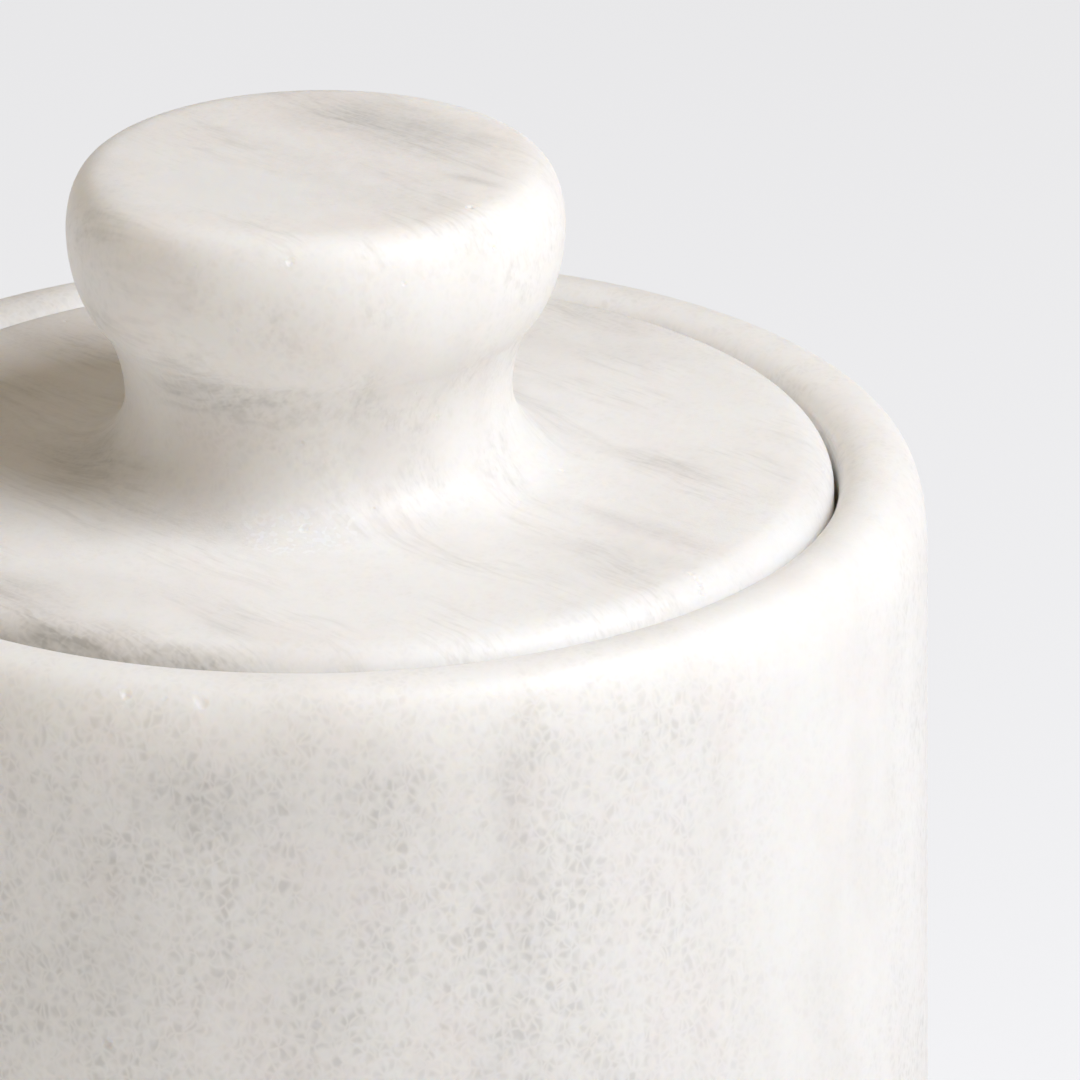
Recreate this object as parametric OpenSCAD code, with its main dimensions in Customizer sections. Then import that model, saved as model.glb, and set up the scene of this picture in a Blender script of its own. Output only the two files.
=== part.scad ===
// Powder jar: a turned marble jar with an inset marble lid and a mushroom knob.
// The origin is at the centre of the feet's underside, and +Z points up.

/* [Jar] */
// Radius of the jar just under the rim's round-over
jar_r = 50; // [49.5:0.1:54]
// Height of the rim's crest above the table
rim_z = 80.45; // [65:0.05:110]
// How much the radius grows for each millimetre down the wall
draft = 0.01; // [0:0.002:0.02]
// Thickness of the floor under the powder
floor_t = 10; // [7:0.5:14]
// Radius of the round at the foot of the wall
foot_round = 3; // [1.5:0.1:3.5]
// Radius of the powder chamber
bore_r = 39.5; // [39:0.1:40]
// Radius of the fillet round the chamber's floor
bore_fillet = 6; // [3:0.5:8]

/* [Rim] */
// Radius at which the rim is highest
crest_r = 45.6; // [45.2:0.1:46.4]
// Height of the round-over outside the crest
round_over_h = 6.95; // [5:0.05:9]
// Radius of the seat that the lid drops into
seat_r = 42.7; // [42.6:0.05:43]
// How far the rim falls from its crest to the seat's edge
rim_fall = 2.75; // [1.5:0.05:3]
// Depth of the seat's ledge under the crest
seat_depth = 7.75; // [7.4:0.05:9]

/* [Lid] */
// Radius of the lid's plate
lid_r = 42.3; // [41.8:0.05:42.4]
// Thickness of the lid's plate
lid_t = 7; // [6.5:0.1:8]
// Width of the round on the plate's top edge
lid_round_w = 2.8; // [1:0.1:3.5]
// Height of the round on the plate's top edge
lid_round_h = 3; // [1:0.1:4]
// Radius of the plug under the plate
plug_r = 38.6; // [37:0.1:38.8]
// Depth of the plug under the plate
plug_h = 4; // [2:0.5:6]

/* [Knob] */
// Radius of the knob where it is widest
knob_r = 20.35; // [19:0.05:22]
// Height of the knob's top above the lid's plate
knob_h = 25.5; // [23:0.1:28]
// Width of the round on the knob's top edge
knob_round_w = 4.35; // [1:0.05:5]
// Height of the round on the knob's top edge
knob_round_h = 5.45; // [3:0.05:6]
// Radius of the neck at its waist
neck_r = 15.9; // [14:0.1:16.5]
// Height of the waist above the lid's plate
neck_z = 5.8; // [5:0.1:7]
// Width of the fillet between the waist and the plate
neck_fillet_w = 5.6; // [4:0.1:8]

/* [Silicone parts] */
// Thickness of the ring between the lid and the ledge
seal_t = 1.2; // [0.8:0.1:1.5]
// Clearance between the ring and the plug inside it
seal_gap = 0.3; // [0.2:0.05:0.4]
// Number of pads under the jar
pad_count = 4; // [3:1:6]
// Radius of one pad
pad_r = 5; // [3:0.5:7]
// Thickness of one pad
pad_t = 1.5; // [1:0.1:2.5]
// Radius of the circle that the pads stand on
pad_ring_r = 38; // [25:0.5:40]

/* [Hidden] */
$fn = 96;

marble = [0.93, 0.91, 0.88];
silicone = [0.86, 0.86, 0.84];

// Round that breaks each hidden stone edge, and the same for silicone edges
ease = 0.5;
soft_ease = 0.35;
// Radius of the neck's flare above its waist, and how far round it turns
flare_r = 13;
flare_turn = 30;
// How far the cap's underside turns from its widest point to the flare
cap_turn = 61;
// How flat the crown of the rim and of the knob is: 1 would be a plain ellipse
crown_power = 1.5;
// Segments in a long round, in a crown and in an eased edge
round_n = 12;
crown_n = 20;
ease_n = 4;

base_z = pad_t;
floor_z = base_z + floor_t;
shoulder_z = rim_z - round_over_h;
ledge_z = rim_z - seat_depth;
base_r = jar_r + draft * (shoulder_z - base_z - foot_round);
plate_z = ledge_z + seal_t;
lid_z = plate_z + lid_t;

seal_ir = plug_r + seal_gap;
seal_or = lid_r - seal_gap;

function pad_name(i) = str("foot_pad_", i);

// Points of an elliptical round about [r, z], from one angle to another
function round_off(r, z, w, h, from, to, n = round_n) =
    [for (i = [0:n]) let (t = from + (to - from) * i / n) [r + w * cos(t), z + h * sin(t)]];

// Points of an outer edge, up to its crest: an elliptical round with a flattened crown
function crowned(r, z, w, h, first = 0) =
    [for (i = [first:crown_n])
        let (t = 90 * i / crown_n)
        [r + w * pow(cos(t), 1 / crown_power), z + h * sin(t)]];

// Outline of the jar: up the outside, over the rim, into the seat and down the bore
function jar_outline() = concat(
    [[0, base_z]],
    round_off(base_r - foot_round, base_z + foot_round, foot_round, foot_round, -90, 0),
    crowned(crest_r, shoulder_z, jar_r - crest_r, round_over_h),
    round_off_rest(crest_r, rim_z - rim_fall, crest_r - seat_r, rim_fall, 90, 180),
    round_off(seat_r - ease, ledge_z + ease, ease, ease, 0, -90, ease_n),
    round_off(bore_r + ease, ledge_z - ease, ease, ease, 90, 180, ease_n),
    round_off(bore_r - bore_fillet, floor_z + bore_fillet, bore_fillet, bore_fillet, 0, -90),
    [[0, floor_z]]
);

// A round without its first point, where it carries on from the round before it
function round_off_rest(r, z, w, h, from, to, n = round_n) =
    [for (i = [1:n]) round_off(r, z, w, h, from, to, n)[i]];

// Outline of the plug and plate, from the centre to the plate's flat top
function plate_outline() = concat(
    [[0, -lid_t - plug_h]],
    round_off(plug_r - ease, ease - lid_t - plug_h, ease, ease, -90, 0, ease_n),
    [[plug_r, -lid_t]],
    round_off(lid_r - ease, ease - lid_t, ease, ease, -90, 0, ease_n),
    round_off(lid_r - lid_round_w, -lid_round_h, lid_round_w, lid_round_h, 0, 90)
);

// Outline of the knob, from its fillet on the plate to the centre of its top
flare_end_r = neck_r + flare_r * (1 - cos(flare_turn));
flare_end_z = neck_z + flare_r * sin(flare_turn);
cap_z = knob_h - knob_round_h;
cap_w = (knob_r - flare_end_r) / (1 - cos(cap_turn));
cap_h = (cap_z - flare_end_z) / sin(cap_turn);
function knob_outline() = concat(
    round_off(neck_r + neck_fillet_w, neck_z, neck_fillet_w, neck_z, 270, 180),
    round_off_rest(neck_r + flare_r, neck_z, flare_r, flare_r, 180, 180 - flare_turn),
    round_off_rest(knob_r - cap_w, cap_z, cap_w, cap_h, -cap_turn, 0),
    crowned(knob_r - knob_round_w, cap_z, knob_round_w, knob_round_h, 1),
    [[0, knob_h]]
);

// Rectangle with eased corners, from one radius and height to another
function ring_outline(r0, r1, z0, z1, e) = concat(
    round_off(r1 - e, z0 + e, e, e, -90, 0, ease_n),
    round_off(r1 - e, z1 - e, e, e, 0, 90, ease_n),
    round_off(r0 + e, z1 - e, e, e, 90, 180, ease_n),
    round_off(r0 + e, z0 + e, e, e, 180, 270, ease_n)
);

// Turned and bored from one block, with a ledge for the lid inside its rim
module jar_body() {
    color(marble)
        rotate_extrude() polygon(jar_outline());
}

// Plug, plate and knob turned from one block
module lid() {
    color(marble)
        translate([0, 0, lid_z])
            rotate_extrude() polygon(concat(plate_outline(), knob_outline()));
}

// Flat ring held round the plug, which keeps stone off stone and powder dry
module seal_ring() {
    color(silicone)
        rotate_extrude() polygon(ring_outline(seal_ir, seal_or, ledge_z, plate_z, soft_ease));
}

// One round pad glued to the jar's underside, eased where it meets the table
module foot_pad(i) {
    color(silicone)
        rotate(360 * (i - 0.5) / pad_count)
            translate([pad_ring_r, 0, 0])
                rotate_extrude()
                    polygon(concat(
                        [[0, 0]],
                        round_off(pad_r - soft_ease, soft_ease, soft_ease, soft_ease, -90, 0, ease_n),
                        [[pad_r, pad_t], [0, pad_t]]
                    ));
}

jar_body();
lid();
seal_ring();
for (i = [1:pad_count]) foot_pad(i);
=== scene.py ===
"""Looks of the powder jar: turned marble with an inset lid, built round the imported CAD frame."""

import math
import random

import bmesh
import bpy
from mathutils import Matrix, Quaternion, Vector, noise
from mathutils.kdtree import KDTree


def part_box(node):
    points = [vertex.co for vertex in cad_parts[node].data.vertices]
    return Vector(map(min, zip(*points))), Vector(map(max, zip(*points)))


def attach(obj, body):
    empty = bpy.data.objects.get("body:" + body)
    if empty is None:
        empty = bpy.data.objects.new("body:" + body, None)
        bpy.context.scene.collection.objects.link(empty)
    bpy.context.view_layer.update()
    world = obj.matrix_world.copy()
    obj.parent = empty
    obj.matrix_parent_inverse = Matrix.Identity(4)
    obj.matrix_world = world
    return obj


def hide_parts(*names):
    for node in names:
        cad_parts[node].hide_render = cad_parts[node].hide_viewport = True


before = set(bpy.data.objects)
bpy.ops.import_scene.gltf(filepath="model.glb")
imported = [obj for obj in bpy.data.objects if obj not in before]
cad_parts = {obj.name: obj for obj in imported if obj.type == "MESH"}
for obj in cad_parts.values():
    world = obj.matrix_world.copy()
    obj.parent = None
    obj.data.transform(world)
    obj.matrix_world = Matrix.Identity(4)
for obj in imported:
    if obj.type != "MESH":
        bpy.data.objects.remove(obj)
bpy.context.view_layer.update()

MM = 0.001

# ---------------------------------------------------------------------------------------------
# Sizes in millimetres, as the CAD model has them. Heights come from the CAD boxes below.
# ---------------------------------------------------------------------------------------------
JAR_R = 50.0
DRAFT = 0.01
FOOT_ROUND = 3.0
BORE_R = 39.5
BORE_FILLET = 6.0
FLOOR_T = 10.0
CREST_R = 45.6
ROUND_OVER_H = 6.95
CROWN_POWER = 1.5
SEAT_R = 42.7
RIM_FALL = 2.75
SEAT_DEPTH = 7.75
LID_R = 42.3
LID_T = 7.0
LID_ROUND_W = 2.8
LID_ROUND_H = 3.0
PLUG_R = 38.6
PLUG_H = 4.0
KNOB_R = 20.35
KNOB_H = 25.5
KNOB_ROUND_W = 4.35
KNOB_ROUND_H = 5.45
NECK_R = 15.9
NECK_Z = 5.8
NECK_FILLET_W = 5.6
FLARE_R = 13.0
FLARE_TURN = 30.0
CAP_TURN = 61.0
EASE = 0.5
SEAL_R0 = 38.9
SEAL_R1 = 42.0
PAD_R = 5.0
SOFT_EASE = 0.35

jar_low, jar_high = (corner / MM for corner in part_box("jar_body"))
lid_low, lid_high = (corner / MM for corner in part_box("lid"))
seal_low, seal_high = (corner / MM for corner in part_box("seal_ring"))
BASE_Z = jar_low.z
RIM_Z = jar_high.z
FLOOR_Z = BASE_Z + FLOOR_T
LEDGE_Z = RIM_Z - SEAT_DEPTH
PLATE_Z = lid_low.z + PLUG_H
TOP_Z = lid_high.z
LID_Z = TOP_Z - KNOB_H

# The meshes' segments round the axis, their longest stretch along an outline, and the stretches
# of its rounds
JAR_TURNS = 300
LID_TURNS = 300
SOFT_TURNS = 160
JAR_STEP = 1.8
LID_STEP = 1.5
ROUND_STEP = 0.36
FILLET_STEP = 0.8
EASE_STEP = 0.15
SOFT_STEP = 0.1
GROOVE_STEP = 0.08

# The ring's grooves and the pads' cups
GROOVE_INSET = 1.1
GROOVE_W = 0.35
GROOVE_D = 0.3
CUP_R = 3.4
CUP_LIP = 0.8
CUP_D = 0.35
PAD_TOP_EASE = 0.6


# ---------------------------------------------------------------------------------------------
# Turned shapes
# ---------------------------------------------------------------------------------------------
def round_off(r, z, w, h, start, end, step=ROUND_STEP):
    """Points of an elliptical round about (r, z), from one angle to another."""
    n = max(3, round(abs(math.radians(end - start)) * max(w, h) / step))
    turns = [math.radians(start + (end - start) * i / n) for i in range(n + 1)]
    return [(r + w * math.cos(t), z + h * math.sin(t)) for t in turns]


def filled(points, step):
    """The same outline with no stretch longer than step and no point twice."""
    out = [points[0]]
    for r, z in points[1:]:
        r0, z0 = out[-1]
        length = math.hypot(r - r0, z - z0)
        n = math.ceil(length / step - 1e-6)
        out += [(r0 + (r - r0) * i / n, z0 + (z - z0) * i / n) for i in range(1, n + 1)]
    return out


def lathe(name, points, segments, closed=False):
    """A mesh turned from an outline. An open outline starts and ends on the axis."""
    bm = bmesh.new()
    turns = [math.tau * i / segments for i in range(segments)]
    rows = []
    for r, z in points:
        around = turns if r > 1e-6 else [0.0]
        places = [(r * math.cos(t) * MM, r * math.sin(t) * MM, z * MM) for t in around]
        rows.append([bm.verts.new(place) for place in places])
    if closed:
        rows.append(rows[0])
    for low, high in zip(rows, rows[1:]):
        for i in range(segments):
            j = (i + 1) % segments
            if len(low) == 1:
                bm.faces.new((low[0], high[j], high[i]))
            elif len(high) == 1:
                bm.faces.new((low[i], low[j], high[0]))
            else:
                bm.faces.new((low[i], low[j], high[j], high[i]))
    bmesh.ops.recalc_face_normals(bm, faces=bm.faces)
    return finished(name, bm)


def finished(name, bm):
    """A smooth-shaded object from a bmesh."""
    mesh = bpy.data.meshes.new(name)
    bm.to_mesh(mesh)
    bm.free()
    mesh.polygons.foreach_set("use_smooth", [True] * len(mesh.polygons))
    piece = bpy.data.objects.new(name, mesh)
    bpy.context.scene.collection.objects.link(piece)
    return piece


def crowned(r, z, w, h, steps=36):
    """Points of an outer edge up to its crest: an elliptical round with a flattened crown."""
    turns = [math.radians(90 * i / steps) for i in range(steps)] + [math.pi / 2]
    return [(r + w * max(0.0, math.cos(t)) ** (1 / CROWN_POWER), z + h * math.sin(t)) for t in turns]


def jar_outline():
    base_r = JAR_R + DRAFT * (RIM_Z - ROUND_OVER_H - BASE_Z - FOOT_ROUND)
    flat_r = BORE_R - BORE_FILLET
    return filled(
        [(0, BASE_Z)]
        + round_off(base_r - FOOT_ROUND, BASE_Z + FOOT_ROUND, FOOT_ROUND, FOOT_ROUND, -90, 0)
        + crowned(CREST_R, RIM_Z - ROUND_OVER_H, JAR_R - CREST_R, ROUND_OVER_H)
        + round_off(CREST_R, RIM_Z - RIM_FALL, CREST_R - SEAT_R, RIM_FALL, 90, 180)[1:]
        + round_off(SEAT_R - EASE, LEDGE_Z + EASE, EASE, EASE, 0, -90, EASE_STEP)
        + round_off(BORE_R + EASE, LEDGE_Z - EASE, EASE, EASE, 90, 180, EASE_STEP)
        + round_off(flat_r, FLOOR_Z + BORE_FILLET, BORE_FILLET, BORE_FILLET, 0, -90, FILLET_STEP)
        + [(0, FLOOR_Z)],
        JAR_STEP,
    )


def lid_outline():
    flare_r = NECK_R + FLARE_R * (1 - math.cos(math.radians(FLARE_TURN)))
    flare_z = NECK_Z + FLARE_R * math.sin(math.radians(FLARE_TURN))
    cap_z = KNOB_H - KNOB_ROUND_H
    cap_w = (KNOB_R - flare_r) / (1 - math.cos(math.radians(CAP_TURN)))
    cap_h = (cap_z - flare_z) / math.sin(math.radians(CAP_TURN))
    local = (
        [(0, -LID_T - PLUG_H)]
        + round_off(PLUG_R - EASE, EASE - LID_T - PLUG_H, EASE, EASE, -90, 0, EASE_STEP)
        + [(PLUG_R, -LID_T)]
        + round_off(LID_R - EASE, EASE - LID_T, EASE, EASE, -90, 0, EASE_STEP)
        + round_off(LID_R - LID_ROUND_W, -LID_ROUND_H, LID_ROUND_W, LID_ROUND_H, 0, 90)
        + round_off(NECK_R + NECK_FILLET_W, NECK_Z, NECK_FILLET_W, NECK_Z, 270, 180)
        + round_off(NECK_R + FLARE_R, NECK_Z, FLARE_R, FLARE_R, 180, 180 - FLARE_TURN)[1:]
        + round_off(KNOB_R - cap_w, cap_z, cap_w, cap_h, -CAP_TURN, 0)[1:]
        + crowned(KNOB_R - KNOB_ROUND_W, cap_z, KNOB_ROUND_W, KNOB_ROUND_H)[1:]
        + [(0, KNOB_H)]
    )
    return filled([(r, z + LID_Z) for r, z in local], LID_STEP)


def seal_outline():
    """A flat ring, eased all round, with two shallow grooves in its lower face for grip."""
    low, high, e = seal_low.z, seal_high.z, SOFT_EASE
    points = []
    for middle in (SEAL_R0 + GROOVE_INSET, SEAL_R1 - GROOVE_INSET):
        points += [(middle - GROOVE_W, low)]
        points += round_off(middle, low, GROOVE_W, GROOVE_D, 180, 0, GROOVE_STEP)[1:-1]
        points += [(middle + GROOVE_W, low)]
    points += round_off(SEAL_R1 - e, low + e, e, e, -90, 0, SOFT_STEP)
    points += round_off(SEAL_R1 - e, high - e, e, e, 0, 90, SOFT_STEP)
    points += round_off(SEAL_R0 + e, high - e, e, e, 90, 180, SOFT_STEP)
    points += round_off(SEAL_R0 + e, low + e, e, e, 180, 270, SOFT_STEP)
    return points


def pad_outline(low, high):
    """A round pad with a shallow cup in its underside."""
    e = SOFT_EASE
    return (
        [(0, low + CUP_D)]
        + round_off(CUP_R - CUP_LIP, low, CUP_LIP, CUP_D, 90, 0, SOFT_STEP)
        + round_off(PAD_R - e, low + e, e, e, -90, 0, SOFT_STEP)
        + [(PAD_R, high), (PAD_R - PAD_TOP_EASE, high), (0, high)]
    )


# ---------------------------------------------------------------------------------------------
# Relief cut into the stone: pits, chips and a fissure
# ---------------------------------------------------------------------------------------------
# How far round a cut the mesh is refined, in radii, and at least how far: a coarse pass and a fine one
REFINED = ((2.4, 0.9 * MM), (1.7, 0.3 * MM))
# How far a cut's edge strays from a circle, the size of the noise that moves it, and the furthest
# vertex that a cut still moves, in radii
RAGGED = 0.45
RAGGED_SIZE = 0.9
CUT_REACH = 1.4


def near(bm, cuts, reach, least):
    """The vertices round each cut, as one list for each."""
    bm.verts.ensure_lookup_table()
    tree = KDTree(len(bm.verts))
    for v in bm.verts:
        tree.insert(v.co, v.index)
    tree.balance()
    found = []
    for place, radius, _ in cuts:
        around = tree.find_range(place, max(radius * reach, least))
        found.append([(bm.verts[i], distance) for _, i, distance in around])
    return found


def edges_near(bm, cuts, reach, least):
    """The edges of every face that touches a vertex near a cut, in the mesh's own order."""
    edges = set()
    for verts in near(bm, cuts, reach, least):
        for v, _ in verts:
            edges.update(e for f in v.link_faces for e in f.edges)
    return sorted(edges, key=lambda e: e.index)


def carve(piece, cuts):
    """Refines the mesh round each cut and presses it in.

    A cut is a place, a radius and a depth, in metres.
    """
    bm = bmesh.new()
    bm.from_mesh(piece.data)
    for reach, least in REFINED:
        bm.verts.index_update()
        edges = edges_near(bm, cuts, reach, least)
        bmesh.ops.subdivide_edges(bm, edges=edges, cuts=2, use_grid_fill=True)
        bm.edges.index_update()
    bm.normal_update()
    bm.verts.index_update()
    moves = {}
    for (place, radius, depth), verts in zip(cuts, near(bm, cuts, CUT_REACH, 0)):
        for v, distance in verts:
            ragged = 1 + RAGGED * noise.noise(v.co / (radius * RAGGED_SIZE))
            share = max(0.0, 1 - (distance / (radius * ragged)) ** 2)
            moves[v] = max(moves.get(v, 0.0), depth * share * share)
    normals = {v: v.normal.copy() for v in moves}
    for v, depth in moves.items():
        v.co -= normals[v] * depth
    bm.to_mesh(piece.data)
    bm.free()
    piece.data.polygons.foreach_set("use_smooth", [True] * len(piece.data.polygons))


def on_surface(piece, place):
    """The nearest point of the piece to a place given in millimetres."""
    return piece.closest_point_on_mesh(Vector(place) * MM)[1]


def scattered(piece, count, low, high, seed):
    """Pits with radii from low to high, at random places of a piece, the same each run."""
    chance = random.Random(seed)
    vertices = piece.data.vertices
    places = [vertices[chance.randrange(len(vertices))].co.copy() for _ in range(count)]
    pits = []
    for place in places:
        radius = chance.uniform(low, high) * MM
        depth = chance.uniform(0.5, 0.9) * low * MM
        pits.append((place, radius, depth))
    return pits


# ---------------------------------------------------------------------------------------------
# Materials
# ---------------------------------------------------------------------------------------------
class Graph:
    """Short ways to add shader nodes to a material and to link them."""

    def __init__(self, material):
        self.tree = material.node_tree
        self.shader = self.tree.nodes["Principled BSDF"]
        self.place = self.add("ShaderNodeTexCoord").outputs["Object"]
        self.mm = self.vector("SCALE", {0: self.place, 3: 1 / MM})[0]

    def add(self, kind, inputs=(), **settings):
        made = self.tree.nodes.new(kind)
        for key, value in settings.items():
            setattr(made, key, value)
        for key, value in dict(inputs).items():
            self.feed(made.inputs[key], value)
        return made

    def feed(self, socket, value):
        if isinstance(value, bpy.types.NodeSocket):
            self.tree.links.new(value, socket)
        else:
            socket.default_value = value

    def math(self, operation, a, b=0.0):
        return self.add("ShaderNodeMath", {0: a, 1: b}, operation=operation).outputs[0]

    def times(self, a, b):
        return self.math("MULTIPLY", a, b)

    def total(self, *values):
        out = values[0]
        for value in values[1:]:
            out = self.math("ADD", out, value)
        return out

    def step(self, value, low, high, start=0.0, end=1.0):
        """A smooth step from start at low to end at high."""
        inputs = {"Value": value, "From Min": low, "From Max": high, "To Min": start, "To Max": end}
        return self.add("ShaderNodeMapRange", inputs, interpolation_type="SMOOTHSTEP").outputs[0]

    def local(self, vector, size, turn=(0, 0, 0), place=(0, 0, 0)):
        """A vector in a frame at place, turned in degrees and measured in sizes."""
        angles = [math.radians(t) for t in turn]
        inputs = {"Vector": vector, "Location": place, "Rotation": angles, "Scale": size}
        return self.add("ShaderNodeMapping", inputs, vector_type="TEXTURE").outputs[0]

    def texture(self, vector, detail=2.0, roughness=0.5):
        """A noise texture's node. Its features are about one unit of the vector across."""
        inputs = {"Vector": vector, "Scale": 1.0, "Detail": detail, "Roughness": roughness}
        return self.add("ShaderNodeTexNoise", inputs)

    def noise(self, vector, detail=2.0, roughness=0.5):
        return self.texture(vector, detail, roughness).outputs["Fac"]

    def vector(self, operation, inputs):
        return self.add("ShaderNodeVectorMath", inputs, operation=operation).outputs

    def borders(self, vector):
        """Distance to the nearest border between crystals."""
        inputs = {"Vector": vector, "Scale": 1.0}
        return self.add("ShaderNodeTexVoronoi", inputs, feature="DISTANCE_TO_EDGE").outputs["Distance"]

    def warped(self, vector, size, amount, seed, detail):
        """A vector pushed about by a noise of that size, in millimetres."""
        place = self.local(vector, (size, size, size), place=(seed, seed, seed))
        shift = self.texture(place, detail).outputs["Color"]
        centred = self.vector("SUBTRACT", {0: shift, 1: (0.5, 0.5, 0.5)})[0]
        pushed = self.vector("SCALE", {0: centred, 3: amount})[0]
        return self.vector("ADD", {0: vector, 1: pushed})[0]

    def spot(self, vector, place, size, turn=0.0, core=0.0):
        """1 in the middle of an ellipsoid and 0 at its edge, with a solid core."""
        inside = self.local(vector, size, (0, 0, turn), place)
        distance = self.vector("LENGTH", {0: inside})["Value"]
        return self.step(distance, core, 1.0, 1.0, 0.0)

    def mix(self, factor, a, b):
        """A colour between a and b, which are colours or sockets."""
        node = self.add("ShaderNodeMix", data_type="RGBA", clamp_factor=True)
        self.feed(node.inputs[0], factor)
        for socket, color in ((node.inputs[6], a), (node.inputs[7], b)):
            self.feed(socket, (*color, 1.0) if isinstance(color, tuple) else color)
        return node.outputs[2]


def new_material(name):
    material = bpy.data.materials.new(name)
    material.use_nodes = True
    return material


# Stone colours
LIGHT_STONE = (0.94, 0.925, 0.90)
# The grey of the stone, and also the colour of the painted shade on the lid
GREY_STONE_AND_PAINTED_SHADE = (0.50, 0.49, 0.465)
PINK_STONE = (0.95, 0.865, 0.84)
CRYSTAL = (0.99, 0.985, 0.97)

# The turn of the upright beds in degrees, and how wide and how far their warp pushes them
BEDS = (0, 0, 45.0)
BED_WARP_SIZE = 9.0
BED_WARP = 3.5

# Sizes of the stone's figure in millimetres: across the beds, along them and upright
CLOUD_SIZE = (9.0, 20.0, 26.0)
WIDE_LINE_SIZE = (0.9, 11.0, 1.6)
FINE_LINE_SIZE = (0.30, 3.6, 0.6)
LINE_AREA_SIZE = (4.0, 15.0, 4.0)
PINK_AREA_SIZE = (5.0, 9.0, 8.0)

# Sizes of what doesn't follow the beds, along X, Y and Z
CRYSTAL_SIZE = (0.76, 0.76, 1.05)
CRYSTAL_WOBBLE_SIZE = 1.1
CRYSTAL_WOBBLE = 0.85
CRYSTAL_TONE_SIZE = (1.0, 1.0, 1.3)
CRYSTAL_AREA_SIZE = (6.0, 6.0, 9.0)
FLECK_SIZE = (0.5, 0.5, 0.5)
POLISH_AREA_SIZE = (1.4, 1.4, 1.4)
PITTED_SIZE = (0.22, 0.22, 0.22)
RELIEF = 0.03

# Shares of the pink tint and of the grey on turned faces, and the roughness of honed and turned faces
PINK_SHARE = 0.14
ROUGH_FACE_GREY = 0.22
HONED_ROUGHNESS = (0.40, 0.54)
TURNED_ROUGHNESS = 0.72

# How far light travels in the stone in millimetres, and the share of it for red, green and blue
LIGHT_TRAVEL = 4.5
LIGHT_TRAVEL_SHARES = (1.0, 0.88, 0.72)


def grey_clouds(g, stone, offset):
    """Soft clouds, drawn out along the beds and upright."""
    cloud = g.noise(g.local(stone, CLOUD_SIZE, BEDS, offset), 2.0, 0.55)
    return g.step(cloud, 0.40, 0.72)


def bed_lines(g, stone, offset):
    """Thin lines along the beds, wide and fine together, and the areas where they show."""
    wide = g.noise(g.local(stone, WIDE_LINE_SIZE, BEDS, offset), 2.0, 0.6)
    fine = g.noise(g.local(g.mm, FINE_LINE_SIZE, BEDS, offset), 1.0, 0.6)
    line = g.total(g.times(g.step(wide, 0.44, 0.74), 0.65), g.times(g.step(fine, 0.45, 0.78), 0.45))
    area = g.noise(g.local(stone, LINE_AREA_SIZE, BEDS, offset), 0.0)
    return line, g.step(area, 0.38, 0.68)


def crystal_net(g, seed, offset, clean):
    """Grey crystals in a pale net, and the net itself."""
    wobble = g.warped(g.mm, CRYSTAL_WOBBLE_SIZE, CRYSTAL_WOBBLE, seed + 11.0, 0.0)
    net = g.step(g.borders(g.local(wobble, CRYSTAL_SIZE)), 0.0, 0.34)
    tone = g.step(g.noise(g.local(g.mm, CRYSTAL_TONE_SIZE, place=offset), 1.0), 0.32, 0.68)
    area = g.noise(g.local(g.mm, CRYSTAL_AREA_SIZE, place=offset), 2.0)
    crystals = g.times(g.total(g.times(net, 0.42), 0.24), g.total(g.times(tone, 0.8), 0.45))
    crystals = g.times(crystals, g.step(area, 0.36, 0.62, 0.5, 1.0))
    for place, size, strength in clean:
        faded = g.times(g.spot(g.mm, place, size), strength)
        crystals = g.times(crystals, g.math("SUBTRACT", 1.0, faded))
    return crystals, net


def bright_flecks(g, stone, sugar):
    """Coarse bright crystals in the areas named by sugar."""
    fleck = g.step(g.noise(g.local(g.mm, FLECK_SIZE), 0.0), 0.55, 0.64)
    sugared = 0.0
    for place, size in sugar:
        sugared = g.math("MAXIMUM", sugared, g.spot(stone, place, size, 0.0, 0.3))
    return g.times(fleck, sugared)


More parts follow.
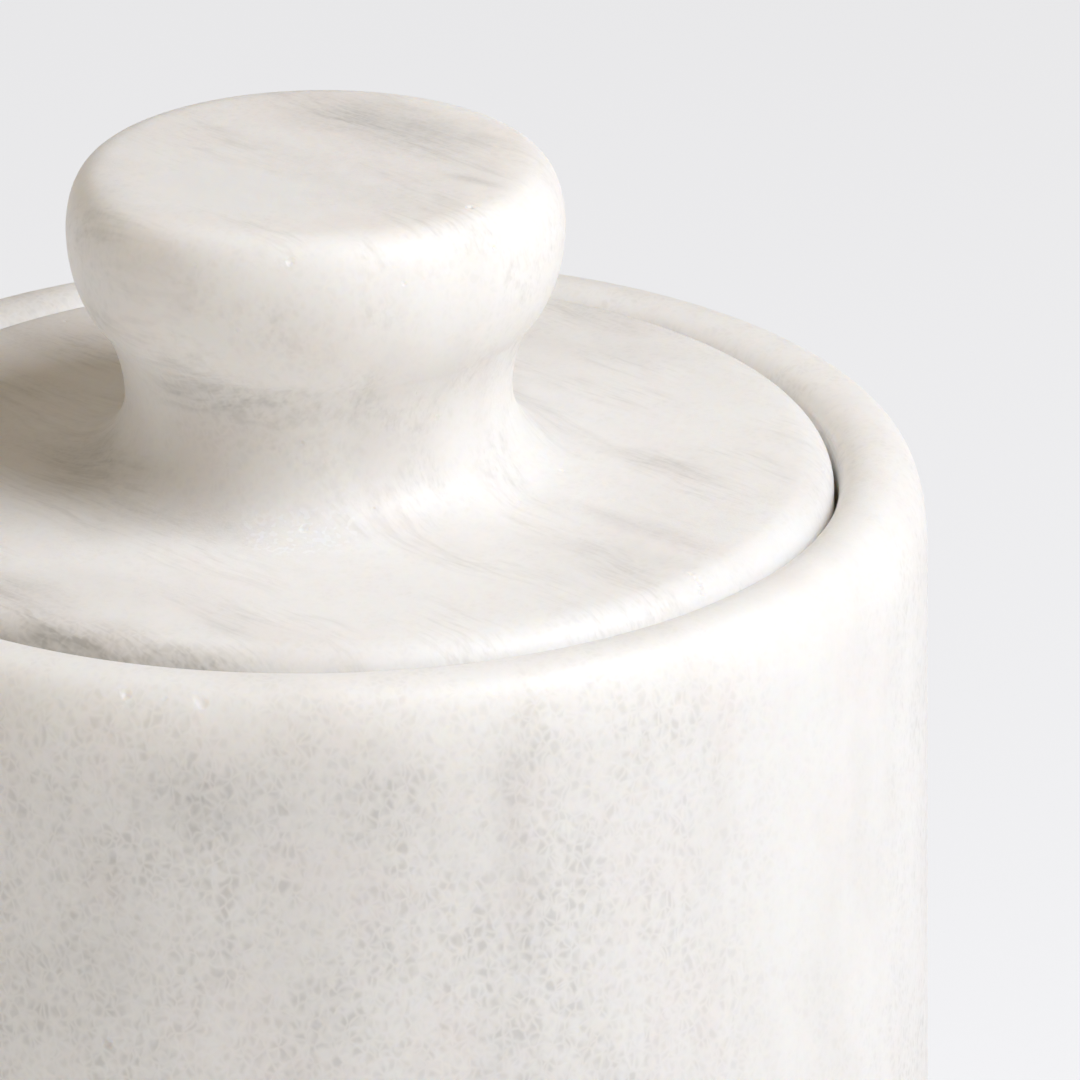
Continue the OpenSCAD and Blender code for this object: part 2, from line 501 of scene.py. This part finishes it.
def marble(name, seed, clouds, streaks, grain, patches, clean, sugar, unpolished, ring_spacing):
    """Honed white marble. Its beds stand upright, and their traces cross the object at 45 degrees.

    clouds, streaks and grain are the strengths of the soft grey clouds, the lines along the beds
    and the net of crystals. patches are (place, size, turn, strength) of single grey areas, some
    of which are painted shade, and those with a strength below zero are painted light; clean
    is (place, size, strength) of areas where the net fades, and sugar is (place, size) of bright
    coarse crystals. unpolished finds the faces that were never polished, and ring_spacing is the
    width of the tool's rings on them.
    """
    material = new_material(name)
    g = Graph(material)
    stone = g.warped(g.mm, BED_WARP_SIZE, BED_WARP, seed, 1.0)
    offset = (seed * 3.0, seed * 5.0, seed * 7.0)

    cloud = grey_clouds(g, stone, offset)
    line, line_area = bed_lines(g, stone, offset)
    crystals, net = crystal_net(g, seed, offset, clean)
    lines_seen = g.times(g.times(line, line_area), streaks)
    grey = g.total(g.times(cloud, clouds), lines_seen, g.times(crystals, grain))
    # Grey areas one by one: some are painted shade, and those with a strength below zero are painted
    # light
    for place, size, turn, strength in patches:
        broken = g.total(0.62, g.times(line, 0.45), g.times(net, 0.15))
        area = g.times(g.spot(stone, place, size, turn), broken)
        grey = g.math("ADD", grey, g.times(area, strength))

    color = g.mix(grey, LIGHT_STONE, GREY_STONE_AND_PAINTED_SHADE)
    pink = g.step(g.noise(g.local(g.mm, PINK_AREA_SIZE, BEDS, offset), 0.0), 0.50, 0.72)
    color = g.mix(g.times(pink, PINK_SHARE), color, PINK_STONE)
    fleck = bright_flecks(g, stone, sugar)
    color = g.mix(fleck, color, CRYSTAL)
    rough_face, tool_marks = turned_marks(g, unpolished, ring_spacing)
    color = g.mix(g.times(rough_face, ROUGH_FACE_GREY), color, GREY_STONE_AND_PAINTED_SHADE)
    g.feed(g.shader.inputs["Base Color"], color)

    polish = g.step(g.noise(g.local(g.mm, POLISH_AREA_SIZE), 1.0), 0.3, 0.7, *HONED_ROUGHNESS)
    roughness = g.math("MAXIMUM", g.times(rough_face, TURNED_ROUGHNESS), polish)
    g.feed(g.shader.inputs["Roughness"], g.math("SUBTRACT", roughness, g.times(fleck, 0.15)))

    pitted = g.step(g.noise(g.local(g.mm, PITTED_SIZE), 1.0, 0.6), 0.3, 0.7)
    height = g.total(g.times(pitted, 0.5), tool_marks)
    bump = g.add("ShaderNodeBump", {"Height": height, "Strength": 0.35, "Distance": RELIEF * MM})
    g.feed(g.shader.inputs["Normal"], bump.outputs[0])

    g.shader.inputs["Subsurface Weight"].default_value = 1.0
    g.shader.inputs["Subsurface Radius"].default_value = LIGHT_TRAVEL_SHARES
    g.shader.inputs["Subsurface Scale"].default_value = LIGHT_TRAVEL * MM
    g.shader.inputs["Specular IOR Level"].default_value = 0.5
    return material


def turned_marks(g, find_face, spacing):
    """The faces left from the lathe, and the fine rings of the tool on them."""
    parts = g.add("ShaderNodeSeparateXYZ", {0: g.mm}).outputs
    flat = g.add("ShaderNodeCombineXYZ", {0: parts[0], 1: parts[1]}).outputs[0]
    radius = g.vector("LENGTH", {0: flat})["Value"]
    face = find_face(g, radius, parts[2])
    wave = g.math("SINE", g.times(g.math("ADD", radius, parts[2]), math.tau / spacing))
    return face, g.times(g.times(wave, face), 0.5)


def inside_jar(g, radius, height):
    """The seat, the chamber and the underside of the jar."""
    within = g.step(radius, SEAT_R + 0.1, SEAT_R + 0.5, 1.0, 0.0)
    hollow = g.times(within, g.step(height, BASE_Z + 2, FLOOR_Z - 1))
    under = g.step(height, BASE_Z + 0.2, BASE_Z + 1.0, 1.0, 0.0)
    return g.math("MAXIMUM", hollow, under)


def under_lid(g, radius, height):
    """The lid's plug and the underside of its plate."""
    return g.step(height, PLATE_Z + 0.2, PLATE_Z + 1.2, 1.0, 0.0)


# The silicone's figure in millimetres
HAZE_SIZE = (2.5, 2.5, 2.5)
DUST_SIZE = (0.15, 0.15, 0.15)
SKIN_SIZE = (0.3, 0.3, 0.3)
SKIN_DEPTH = 0.02
RING_TINT = (0.82, 0.82, 0.79)
PAD_TINT = (0.80, 0.80, 0.77)


def silicone(name, tint):
    """Clear silicone that has gone slightly milky, with a moulded skin and a little dust."""
    material = new_material(name)
    g = Graph(material)
    haze = g.noise(g.local(g.mm, HAZE_SIZE), 3.0)
    dust = g.step(g.noise(g.local(g.mm, DUST_SIZE), 1.0), 0.62, 0.74)
    color = g.mix(g.step(haze, 0.35, 0.65, 0.0, 0.5), tint, tuple(0.9 * c for c in tint))
    g.feed(g.shader.inputs["Base Color"], g.mix(g.times(dust, 0.4), color, CRYSTAL))
    g.feed(g.shader.inputs["Roughness"], g.step(haze, 0.3, 0.7, 0.28, 0.42))
    skin = g.noise(g.local(g.mm, SKIN_SIZE), 2.0)
    bump = g.add("ShaderNodeBump", {"Height": skin, "Strength": 0.3, "Distance": SKIN_DEPTH * MM})
    g.feed(g.shader.inputs["Normal"], bump.outputs[0])
    g.shader.inputs["Subsurface Weight"].default_value = 0.9
    g.shader.inputs["Subsurface Radius"].default_value = (1.0, 1.0, 1.0)
    g.shader.inputs["Subsurface Scale"].default_value = 2.0 * MM
    return material


# ---------------------------------------------------------------------------------------------
# Places in millimetres, seen on the object itself
# ---------------------------------------------------------------------------------------------
# Single grey areas: place, size across the beds, along them and upright, turn, strength. Some on the
# lid are painted shade: the knob's cast shadow on the lid and the neck, and the shade on the lid's
# front-left edge.
# Where the strength is below zero the colour is lighter; on the knob's top and front-left side that is
# painted light.
LID_PATCHES_AND_PAINTED_LIGHT = [
    ((24, 32, LID_Z), (5, 12, 6), 45, 0.32),
    ((28.5, -3.5, LID_Z), (2.6, 9, 6), 45, 0.34),
    ((27, -17, LID_Z), (2.2, 13, 6), 48, 0.36),
    ((-24, 27, LID_Z), (6, 14, 6), 45, 0.30),
    # The lid's front-left edge: partly a real grey patch, partly painted shade where the edge turns
    # down into the gap, away from the light
    ((-24, -30, LID_Z), (6, 12, 6), 45, 0.45),
    ((-17, -38, LID_Z - 1), (4, 15, 4), 62, 0.75),
    ((-8, -41, LID_Z - 1), (2.6, 6.5, 3), 80, 0.55),
    ((5, 9, TOP_Z), (8, 16, 7), 48, 0.46),
    ((13.5, -5, TOP_Z), (1.1, 5, 3), 55, 0.40),
    ((-18, -9, TOP_Z - 3), (3, 6, 4), 45, 0.12),
    # Painted light: these two lighten the knob's top and its front-left side
    ((-6, -4, TOP_Z), (10, 14, 3), 45, -0.22),
    ((-9, -17, TOP_Z - 7), (9, 9, 6), 45, -0.20),
    # Painted shadow on the neck's front-left, under the knob's overhang
    ((-8, -13.5, LID_Z + 10), (9, 9, 9), 45, 0.45),
    # Painted shadow of the knob on the lid, partly over a real darker bed
    ((-19, -2, LID_Z), (6, 13, 5), 45, 0.45),
]
JAR_PATCHES = [
    ((-17, -47, RIM_Z - 20), (10, 14, 22), 45, 0.15),
    ((-9, -49, RIM_Z - 9), (7, 9, 7), 45, 0.30),
    ((-27, 38, RIM_Z), (7, 14, 5), 45, 0.35),
    ((16.7, -47.4, RIM_Z - 12), (3, 5, 15), 45, 0.24),
    ((-40, -25, RIM_Z - 30), (9, 14, 20), 45, 0.12),
    ((-20, 46, RIM_Z - 35), (8, 16, 24), 45, 0.26),
    ((44, 22, RIM_Z - 45), (5, 14, 22), 45, 0.20),
]
# Where the jar's net of crystals fades: place, size, strength
JAR_CLEAN = [
    ((44, -30, RIM_Z - 20), (30, 30, 90), 0.85),
    ((0, 0, RIM_Z + 2), (400, 400, 9), 0.75),
]
# Coarse bright crystals: place, size
LID_SUGAR = [
    ((-1.5, -19, LID_Z + 1.1), (7, 4.5, 2.5)),
    ((-10.4, -12.1, LID_Z + 11.7), (0.9, 0.9, 0.9)),
    ((0, -20.5, TOP_Z - 0.3), (2.2, 1.2, 0.8)),
    ((-24, 34.5, LID_Z), (3, 2.5, 1)),
]
JAR_SUGAR = [
    ((-14.5, -47.5, RIM_Z - 0.5), (1.3, 2, 1.5)),
    ((-8.5, -49, RIM_Z - 0.5), (2, 1.5, 1.2)),
]
# Pits: place, radius, depth
LID_PITS = [
    ((12.7, -11, TOP_Z), 0.40, 0.30),
    ((15, -13.8, TOP_Z - 2.4), 0.30, 0.22),
    ((9.7, -12.7, LID_Z + 8.1), 0.35, 0.20),
    ((-0.9, -18.2, LID_Z + 0.3), 0.45, 0.28),
    ((-1.6, -20.3, TOP_Z - 0.8), 0.45, 0.25),
    ((-24, 34.5, LID_Z), 0.60, 0.20),
]
JAR_PITS = [
    ((-16.3, -47.6, RIM_Z - 30.5), 0.45, 0.30),
    ((-14.5, -47.5, RIM_Z), 0.55, 0.25),
    ((-8.5, -49, RIM_Z), 0.70, 0.25),
]
# The fissure in the lid's edge, where the dark bed comes out
FISSURE_AZIMUTH = -42.0
FISSURE_PITS = [((LID_R - 0.6 * i, 0.12 * i), 0.5 - 0.05 * i, 0.30 - 0.04 * i) for i in range(6)]


def fissure():
    """A short row of shallow cuts from the lid's edge inwards."""
    turn = math.radians(FISSURE_AZIMUTH)
    spots = []
    for (r, side), radius, depth in FISSURE_PITS:
        x = r * math.cos(turn) - side * math.sin(turn)
        y = r * math.sin(turn) + side * math.cos(turn)
        spots.append(((x, y, LID_Z - 0.4), radius, depth))
    return spots


def cuts_at(piece, pits):
    """Cuts at the points of the piece nearest to the pits, in metres."""
    return [(on_surface(piece, place), radius * MM, depth * MM) for place, radius, depth in pits]


# ---------------------------------------------------------------------------------------------
# Pieces
# ---------------------------------------------------------------------------------------------
def dress(piece, node, body, material):
    """Puts a piece in a CAD node's place."""
    piece.data.materials.append(material)
    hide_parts(node)
    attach(piece, body)


jar = lathe("jar_stone", jar_outline(), JAR_TURNS)
jar_cuts = cuts_at(jar, JAR_PITS)
carve(jar, jar_cuts + scattered(jar, count=46, low=0.16, high=0.36, seed=5))
jar_marble = marble(
    "jar_marble",
    seed=1.0,
    clouds=0.12,
    streaks=0.04,
    grain=0.52,
    patches=JAR_PATCHES,
    clean=JAR_CLEAN,
    sugar=JAR_SUGAR,
    unpolished=inside_jar,
    ring_spacing=0.5,
)
dress(jar, "jar_body", "jar", jar_marble)

lid = lathe("lid_stone", lid_outline(), LID_TURNS)
lid_cuts = cuts_at(lid, LID_PITS + fissure())
carve(lid, lid_cuts + scattered(lid, count=30, low=0.14, high=0.30, seed=9))
lid_marble = marble(
    "lid_marble",
    seed=2.0,
    clouds=0.15,
    streaks=0.26,
    grain=0.14,
    patches=LID_PATCHES_AND_PAINTED_LIGHT,
    clean=[],
    sugar=LID_SUGAR,
    unpolished=under_lid,
    ring_spacing=0.4,
)
dress(lid, "lid", "lid", lid_marble)

seal = lathe("seal_silicone", seal_outline(), SOFT_TURNS, closed=True)
dress(seal, "seal_ring", "ring", silicone("seal_silicone", RING_TINT))

pad_silicone = silicone("pad_silicone", PAD_TINT)
for i in range(1, 5):
    low, high = (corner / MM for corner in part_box(f"foot_pad_{i}"))
    pad = lathe(f"pad_silicone_{i}", pad_outline(low.z, high.z), SOFT_TURNS // 2)
    middle = (low + high) / 2
    for v in pad.data.vertices:
        v.co += Vector((middle.x, middle.y, 0)) * MM
    dress(pad, f"foot_pad_{i}", "jar", pad_silicone)


# ---------------------------------------------------------------------------------------------
# Floor, light and camera
# ---------------------------------------------------------------------------------------------
FLOOR_HALF = 4.0
FIBRE_SIZE = (0.6, 0.6, 0.6)
FLOOR_COLOR = (0.25, 0.25, 0.25)
FLOOR_GLOW = 0.70
FLOOR_GLOW_COLOR = (0.96, 0.97, 1.0)
WORLD_STRENGTH = 0.22
WORLD_COLOR = (1.0, 0.80, 0.55)
LIGHT_DISTANCE = 0.6


def floor_material():
    """Seamless white paper, lit from behind a little."""
    material = new_material("pale_floor")
    g = Graph(material)
    fibre = g.noise(g.local(g.mm, FIBRE_SIZE), 3.0)
    darker = tuple(0.97 * c for c in FLOOR_COLOR)
    g.feed(g.shader.inputs["Base Color"], g.mix(fibre, FLOOR_COLOR, darker))
    g.shader.inputs["Roughness"].default_value = 0.9
    g.shader.inputs["Specular IOR Level"].default_value = 0.1
    g.shader.inputs["Emission Color"].default_value = (*FLOOR_GLOW_COLOR, 1)
    g.shader.inputs["Emission Strength"].default_value = FLOOR_GLOW
    return material


floor_mesh = bpy.data.meshes.new("floor")
corners = [(-1, -1), (1, -1), (1, 1), (-1, 1)]
floor_mesh.from_pydata([(x * FLOOR_HALF, y * FLOOR_HALF, 0) for x, y in corners], [], [(0, 1, 2, 3)])
floor = bpy.data.objects.new("floor", floor_mesh)
bpy.context.scene.collection.objects.link(floor)
floor.data.materials.append(floor_material())

world = bpy.data.worlds.new("studio")
world.use_nodes = True
background = world.node_tree.nodes["Background"]
background.inputs["Color"].default_value = (*WORLD_COLOR, 1)
background.inputs["Strength"].default_value = WORLD_STRENGTH
bpy.context.scene.world = world


def soft_light(name, azimuth, elevation, size, power, color=(1.0, 1.0, 1.0)):
    """A round soft light that faces the rim. Azimuth 0 is +X, and it turns towards the camera."""
    data = bpy.data.lights.new(name, "AREA")
    data.shape = "DISK"
    data.size = size
    data.energy = power
    data.color = color
    light = bpy.data.objects.new(name, data)
    a, e = math.radians(azimuth), math.radians(elevation)
    away = Vector((math.cos(a) * math.cos(e), -math.sin(a) * math.cos(e), math.sin(e)))
    light.location = Vector((0, 0, RIM_Z * MM)) + away * LIGHT_DISTANCE
    light.rotation_mode = "QUATERNION"
    light.rotation_quaternion = away.to_track_quat("Z", "Y")
    light.visible_camera = False
    bpy.context.scene.collection.objects.link(light)


KEY_COLOR = (0.915, 0.94, 1.0)
soft_light("key", azimuth=25, elevation=49, size=0.40, power=3.42, color=KEY_COLOR)
soft_light("back_fill", azimuth=220, elevation=50, size=0.3, power=0.28)
soft_light("left_fill", azimuth=130, elevation=7, size=0.3, power=0.27)

CAMERA_LENS = 300.0
CAMERA_SENSOR = 36.0
CAMERA_DISTANCE = 743.4
CAMERA_ELEVATION = 22.37
CAMERA_ROLL = -0.453
CAMERA_AIM = Vector((18.05, 0, RIM_Z - 7.47))

camera_data = bpy.data.cameras.new("camera")
camera_data.lens = CAMERA_LENS
camera_data.sensor_width = CAMERA_SENSOR
camera_data.clip_start = 0.05
camera_data.clip_end = 20
camera = bpy.data.objects.new("camera", camera_data)
tilt = math.radians(CAMERA_ELEVATION)
back = Vector((0, -math.cos(tilt), math.sin(tilt)))
camera.location = (CAMERA_AIM + back * CAMERA_DISTANCE) * MM
camera.rotation_mode = "QUATERNION"
roll = Quaternion((0, 0, 1), math.radians(CAMERA_ROLL))
camera.rotation_quaternion = back.to_track_quat("Z", "Y") @ roll
bpy.context.scene.collection.objects.link(camera)
bpy.context.scene.camera = camera
bpy.context.scene.view_settings.view_transform = "Standard"
